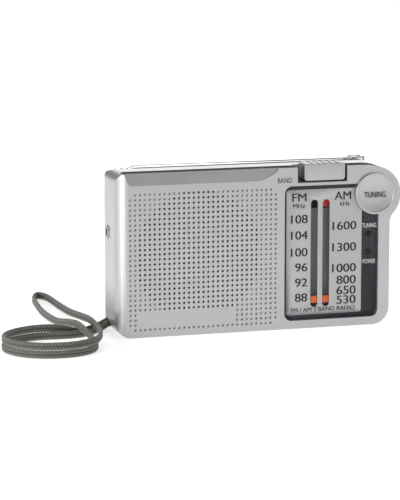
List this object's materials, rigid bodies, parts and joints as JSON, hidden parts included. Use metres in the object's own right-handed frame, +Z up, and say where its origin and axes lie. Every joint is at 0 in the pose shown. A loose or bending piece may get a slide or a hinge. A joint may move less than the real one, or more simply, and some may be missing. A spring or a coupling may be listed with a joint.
{
  "type": "transistor pocket radio",
  "caption": "Flat pocket radio with perforated speaker grille, slotted two-band dial, thumbwheel tuning, band slide, fold-away rod antenna, battery door and hand strap",
  "frame": {"origin": "centre of the bottom of the whole radio's box, on the surface it stands on", "axes": "+Z up, -Y out of the speaker grille and dial, +X to the viewer's right when facing the front"},
  "size_m": [0.1879, 0.1344, 0.0735],
  "materials": {
    "silver_paint": "satin silver paint on moulded plastic",
    "silver_light": "lighter silver paint",
    "clear": "clear acrylic",
    "dial_print": "fine silver print with dark lettering",
    "dark_mask": "dark gloss moulding",
    "black_plastic": "black moulded plastic",
    "white_plastic": "white nylon",
    "cloth": "black felt",
    "steel": "plated steel",
    "chrome": "bright chrome",
    "ferrite": "grey ferrite",
    "paper_cone": "pressed paper",
    "copper": "enamelled copper wire",
    "board": "phenolic board",
    "orange": "orange plastic",
    "red": "red",
    "braid": "grey braid",
    "cell_wrap": "printed battery sleeve",
    "blue_sleeve": "capacitor sleeve"
  },
  "bodies": {
    "cabinet": {"front_cabinet": "silver_paint", "rear_cabinet": "silver_light", "dial_window": "clear", "dial_plate": "dial_print", "dial_surround": "dark_mask", "dial_chassis": "black_plastic", "speaker_cloth": "cloth", "speaker_basket": "steel", "speaker_surround": "paper_cone", "speaker_magnet": "ferrite", "speaker_yoke": "steel", "main_board": "board", "radio_chip": "black_plastic", "if_cans": "steel", "electrolytic_capacitors": "blue_sleeve", "resistors": "board", "ferrite_rod": "ferrite", "ferrite_coil": "copper", "tuning_capacitor": "white_plastic", "tuning_spindle": "steel", "dial_cord": "braid", "volume_control": "steel", "band_selector": "black_plastic", "power_led": "red", "tuning_led": "red", "earphone_jack": "silver_light", "battery_cell_1": "cell_wrap", "battery_cell_2": "cell_wrap", "battery_springs": "steel", "battery_contacts": "steel", "antenna_bracket": "steel", "case_screws": "steel", "board_screws": "steel", "strap_pin": "steel", "hand_strap": "braid"},
    "tuning_thumbwheel": {"tuning_wheel": "black_plastic"},
    "tuning_drum": {"dial_drum": "white_plastic"},
    "upper_cord_pulley": {"upper_pulley": "white_plastic"},
    "lower_cord_pulley": {"lower_pulley": "white_plastic"},
    "pointer": {"dial_pointer": "orange"},
    "volume_thumbwheel": {"volume_wheel": "black_plastic"},
    "band_slide": {"band_knob": "silver_paint", "band_flag": "red"},
    "cone": {"speaker_cone": "paper_cone", "voice_coil": "copper"},
    "battery_door": {"battery_cover": "silver_light"},
    "antenna_swivel": {"antenna_base": "chrome", "antenna_pin": "steel"},
    "antenna_arm": {"antenna_tube_1": "chrome"},
    "antenna_2": {"antenna_tube_2": "chrome"},
    "antenna_3": {"antenna_tube_3": "chrome"},
    "antenna_4": {"antenna_tube_4": "chrome"},
    "antenna_5": {"antenna_tube_5": "chrome"}
  },
  "joints": [
    {"name": "tuning_turn", "type": "hinge", "parent": "cabinet", "child": "tuning_thumbwheel", "pos_m": [0.0574, -0.0052, 0.057], "axis": [0, 1, 0], "range_deg": [0, 600]},
    {"name": "drum_turn", "type": "hinge", "parent": "cabinet", "child": "tuning_drum", "pos_m": [0.038, -0.0082, 0.0445], "axis": [0, 1, 0], "range_deg": [0, 181]},
    {"name": "upper_pulley_turn", "type": "hinge", "parent": "cabinet", "child": "upper_cord_pulley", "pos_m": [0.017, -0.0082, 0.0575], "axis": [0, 1, 0], "range_deg": [0, 690]},
    {"name": "lower_pulley_turn", "type": "hinge", "parent": "cabinet", "child": "lower_cord_pulley", "pos_m": [0.017, -0.0082, 0.0075], "axis": [0, 1, 0], "range_deg": [0, 690]},
    {"name": "pointer_travel", "type": "slide", "parent": "cabinet", "child": "pointer", "axis": [0, 0, 1], "range_m": [0, 0.036]},
    {"name": "volume_turn", "type": "hinge", "parent": "cabinet", "child": "volume_thumbwheel", "pos_m": [0.0495, -0.0052, 0.022], "axis": [0, 1, 0], "range_deg": [0, 280]},
    {"name": "band_travel", "type": "slide", "parent": "cabinet", "child": "band_slide", "axis": [-1, 0, 0], "range_m": [0, 0.003]},
    {"name": "cone_travel", "type": "slide", "parent": "cabinet", "child": "cone", "axis": [0, 1, 0], "range_m": [-0.0004, 0.0004], "stiffness_N_per_m": 800},
    {"name": "door_swing", "type": "hinge", "parent": "cabinet", "child": "battery_door", "pos_m": [0.019, 0.0164, 0.0052], "axis": [-1, 0, 0], "range_deg": [0, 85]},
    {"name": "antenna_turn", "type": "hinge", "parent": "cabinet", "child": "antenna_swivel", "pos_m": [0.052, 0.0125, 0.0656], "axis": [0, 0, -1], "range_deg": [0, 180]},
    {"name": "antenna_lift", "type": "hinge", "parent": "antenna_swivel", "child": "antenna_arm", "pos_m": [0.052, 0.0125, 0.069], "axis": [0, 1, 0], "range_deg": [0, 90]},
    {"name": "antenna_draw_2", "type": "slide", "parent": "antenna_arm", "child": "antenna_2", "axis": [-1, 0, 0], "range_m": [0, 0.08]},
    {"name": "antenna_draw_3", "type": "slide", "parent": "antenna_2", "child": "antenna_3", "axis": [-1, 0, 0], "range_m": [0, 0.08]},
    {"name": "antenna_draw_4", "type": "slide", "parent": "antenna_3", "child": "antenna_4", "axis": [-1, 0, 0], "range_m": [0, 0.08]},
    {"name": "antenna_draw_5", "type": "slide", "parent": "antenna_4", "child": "antenna_5", "axis": [-1, 0, 0], "range_m": [0, 0.08]}
  ],
  "couplings": [
    {"joint": "tuning_turn", "follows": "pointer_travel", "rad_per_m": 290.89},
    {"joint": "drum_turn", "follows": "pointer_travel", "rad_per_m": 87.266},
    {"joint": "upper_pulley_turn", "follows": "pointer_travel", "rad_per_m": 333.33},
    {"joint": "lower_pulley_turn", "follows": "pointer_travel", "rad_per_m": 333.33}
  ]
}
